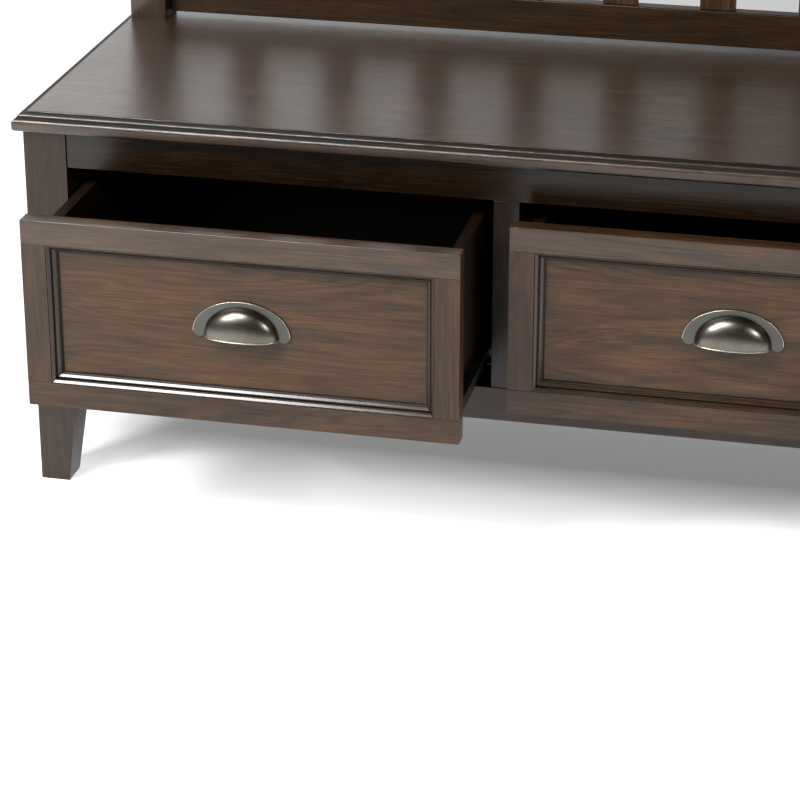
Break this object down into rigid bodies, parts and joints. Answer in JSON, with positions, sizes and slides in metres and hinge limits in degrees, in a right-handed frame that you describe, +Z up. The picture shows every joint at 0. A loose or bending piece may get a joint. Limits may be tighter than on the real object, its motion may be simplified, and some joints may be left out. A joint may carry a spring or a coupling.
{
  "type": "hall tree with hooks",
  "caption": "Dark wood hall tree: a bench with inset drawers and cup pulls, a slatted back, a rail of coat hooks and a hat shelf.",
  "frame": {"origin": "on the floor, under the middle of the outline box with the drawers as stored", "axes": "+Z up, -Y to the front where the drawers open, +X to the right seen from the front"},
  "size_m": [1.067, 0.5714, 1.727],
  "materials": {
    "back_board": "dark mahogany stain, semi-gloss",
    "back_post_left": "dark mahogany stain, semi-gloss",
    "back_post_right": "dark mahogany stain, semi-gloss",
    "back_rail_lower": "dark mahogany stain, semi-gloss",
    "bench_top": "dark mahogany stain, semi-gloss",
    "bottom_board": "dark stain, unvarnished",
    "center_stile": "dark mahogany stain, semi-gloss",
    "coat_hook_1": "antique pewter",
    "coat_hook_2": "antique pewter",
    "coat_hook_3": "antique pewter",
    "coat_hook_4": "antique pewter",
    "front_apron": "dark mahogany stain, semi-gloss",
    "front_bottom_rail": "dark mahogany stain, semi-gloss",
    "front_leg_left": "dark mahogany stain, semi-gloss",
    "front_leg_right": "dark mahogany stain, semi-gloss",
    "hat_shelf": "dark mahogany stain, semi-gloss",
    "hook_rail": "dark mahogany stain, semi-gloss",
    "left_cabinet_slide_left": "black epoxy coat",
    "left_cabinet_slide_right": "black epoxy coat",
    "left_drawer_back": "dark stain, unvarnished",
    "left_drawer_bottom": "dark stain, unvarnished",
    "left_drawer_cup_pull": "antique pewter, brushed",
    "left_drawer_front_bead": "dark mahogany stain, semi-gloss",
    "left_drawer_front_bottom_rail": "dark mahogany stain, semi-gloss",
    "left_drawer_front_panel": "dark mahogany stain, semi-gloss",
    "left_drawer_front_stile_left": "dark mahogany stain, semi-gloss",
    "left_drawer_front_stile_right": "dark mahogany stain, semi-gloss",
    "left_drawer_front_top_rail": "dark mahogany stain, semi-gloss",
    "left_drawer_side_left": "dark stain, unvarnished",
    "left_drawer_side_right": "dark stain, unvarnished",
    "left_drawer_slide_left": "black epoxy coat",
    "left_drawer_slide_right": "black epoxy coat",
    "middle_partition": "dark stain, unvarnished",
    "right_cabinet_slide_left": "black epoxy coat",
    "right_cabinet_slide_right": "black epoxy coat",
    "right_drawer_back": "dark stain, unvarnished",
    "right_drawer_bottom": "dark stain, unvarnished",
    "right_drawer_cup_pull": "antique pewter, brushed",
    "right_drawer_front_bead": "dark mahogany stain, semi-gloss",
    "right_drawer_front_bottom_rail": "dark mahogany stain, semi-gloss",
    "right_drawer_front_panel": "dark mahogany stain, semi-gloss",
    "right_drawer_front_stile_left": "dark mahogany stain, semi-gloss",
    "right_drawer_front_stile_right": "dark mahogany stain, semi-gloss",
    "right_drawer_front_top_rail": "dark mahogany stain, semi-gloss",
    "right_drawer_side_left": "dark stain, unvarnished",
    "right_drawer_side_right": "dark stain, unvarnished",
    "right_drawer_slide_left": "black epoxy coat",
    "right_drawer_slide_right": "black epoxy coat",
    "shelf_bracket_left": "dark mahogany stain, semi-gloss",
    "shelf_bracket_right": "dark mahogany stain, semi-gloss",
    "side_board_left": "dark mahogany stain, semi-gloss",
    "side_board_right": "dark mahogany stain, semi-gloss",
    "slat_1": "dark mahogany stain, semi-gloss",
    "slat_2": "dark mahogany stain, semi-gloss",
    "slat_3": "dark mahogany stain, semi-gloss",
    "slat_4": "dark mahogany stain, semi-gloss",
    "slat_5": "dark mahogany stain, semi-gloss",
    "slat_6": "dark mahogany stain, semi-gloss",
    "slat_7": "dark mahogany stain, semi-gloss",
    "slat_8": "dark mahogany stain, semi-gloss"
  },
  "bodies": {
    "frame": {"back_board": "back_board", "back_post_left": "back_post_left", "back_post_right": "back_post_right", "back_rail_lower": "back_rail_lower", "bench_top": "bench_top", "bottom_board": "bottom_board", "center_stile": "center_stile", "coat_hook_1": "coat_hook_1", "coat_hook_2": "coat_hook_2", "coat_hook_3": "coat_hook_3", "coat_hook_4": "coat_hook_4", "front_apron": "front_apron", "front_bottom_rail": "front_bottom_rail", "front_leg_left": "front_leg_left", "front_leg_right": "front_leg_right", "hat_shelf": "hat_shelf", "hook_rail": "hook_rail", "left_cabinet_slide_left": "left_cabinet_slide_left", "left_cabinet_slide_right": "left_cabinet_slide_right", "middle_partition": "middle_partition", "right_cabinet_slide_left": "right_cabinet_slide_left", "right_cabinet_slide_right": "right_cabinet_slide_right", "shelf_bracket_left": "shelf_bracket_left", "shelf_bracket_right": "shelf_bracket_right", "side_board_left": "side_board_left", "side_board_right": "side_board_right", "slat_1": "slat_1", "slat_2": "slat_2", "slat_3": "slat_3", "slat_4": "slat_4", "slat_5": "slat_5", "slat_6": "slat_6", "slat_7": "slat_7", "slat_8": "slat_8"},
    "left_drawer": {"left_drawer_back": "left_drawer_back", "left_drawer_bottom": "left_drawer_bottom", "left_drawer_cup_pull": "left_drawer_cup_pull", "left_drawer_front_bead": "left_drawer_front_bead", "left_drawer_front_bottom_rail": "left_drawer_front_bottom_rail", "left_drawer_front_panel": "left_drawer_front_panel", "left_drawer_front_stile_left": "left_drawer_front_stile_left", "left_drawer_front_stile_right": "left_drawer_front_stile_right", "left_drawer_front_top_rail": "left_drawer_front_top_rail", "left_drawer_side_left": "left_drawer_side_left", "left_drawer_side_right": "left_drawer_side_right", "left_drawer_slide_left": "left_drawer_slide_left", "left_drawer_slide_right": "left_drawer_slide_right"},
    "right_drawer": {"right_drawer_back": "right_drawer_back", "right_drawer_bottom": "right_drawer_bottom", "right_drawer_cup_pull": "right_drawer_cup_pull", "right_drawer_front_bead": "right_drawer_front_bead", "right_drawer_front_bottom_rail": "right_drawer_front_bottom_rail", "right_drawer_front_panel": "right_drawer_front_panel", "right_drawer_front_stile_left": "right_drawer_front_stile_left", "right_drawer_front_stile_right": "right_drawer_front_stile_right", "right_drawer_front_top_rail": "right_drawer_front_top_rail", "right_drawer_side_left": "right_drawer_side_left", "right_drawer_side_right": "right_drawer_side_right", "right_drawer_slide_left": "right_drawer_slide_left", "right_drawer_slide_right": "right_drawer_slide_right"}
  },
  "joints": [
    {"name": "left_drawer_slide", "type": "slide", "parent": "frame", "child": "left_drawer", "axis": [0, -1, 0], "range_m": [-0.157, 0.105]},
    {"name": "right_drawer_slide", "type": "slide", "parent": "frame", "child": "right_drawer", "axis": [0, -1, 0], "range_m": [-0.067, 0.195]}
  ]
}
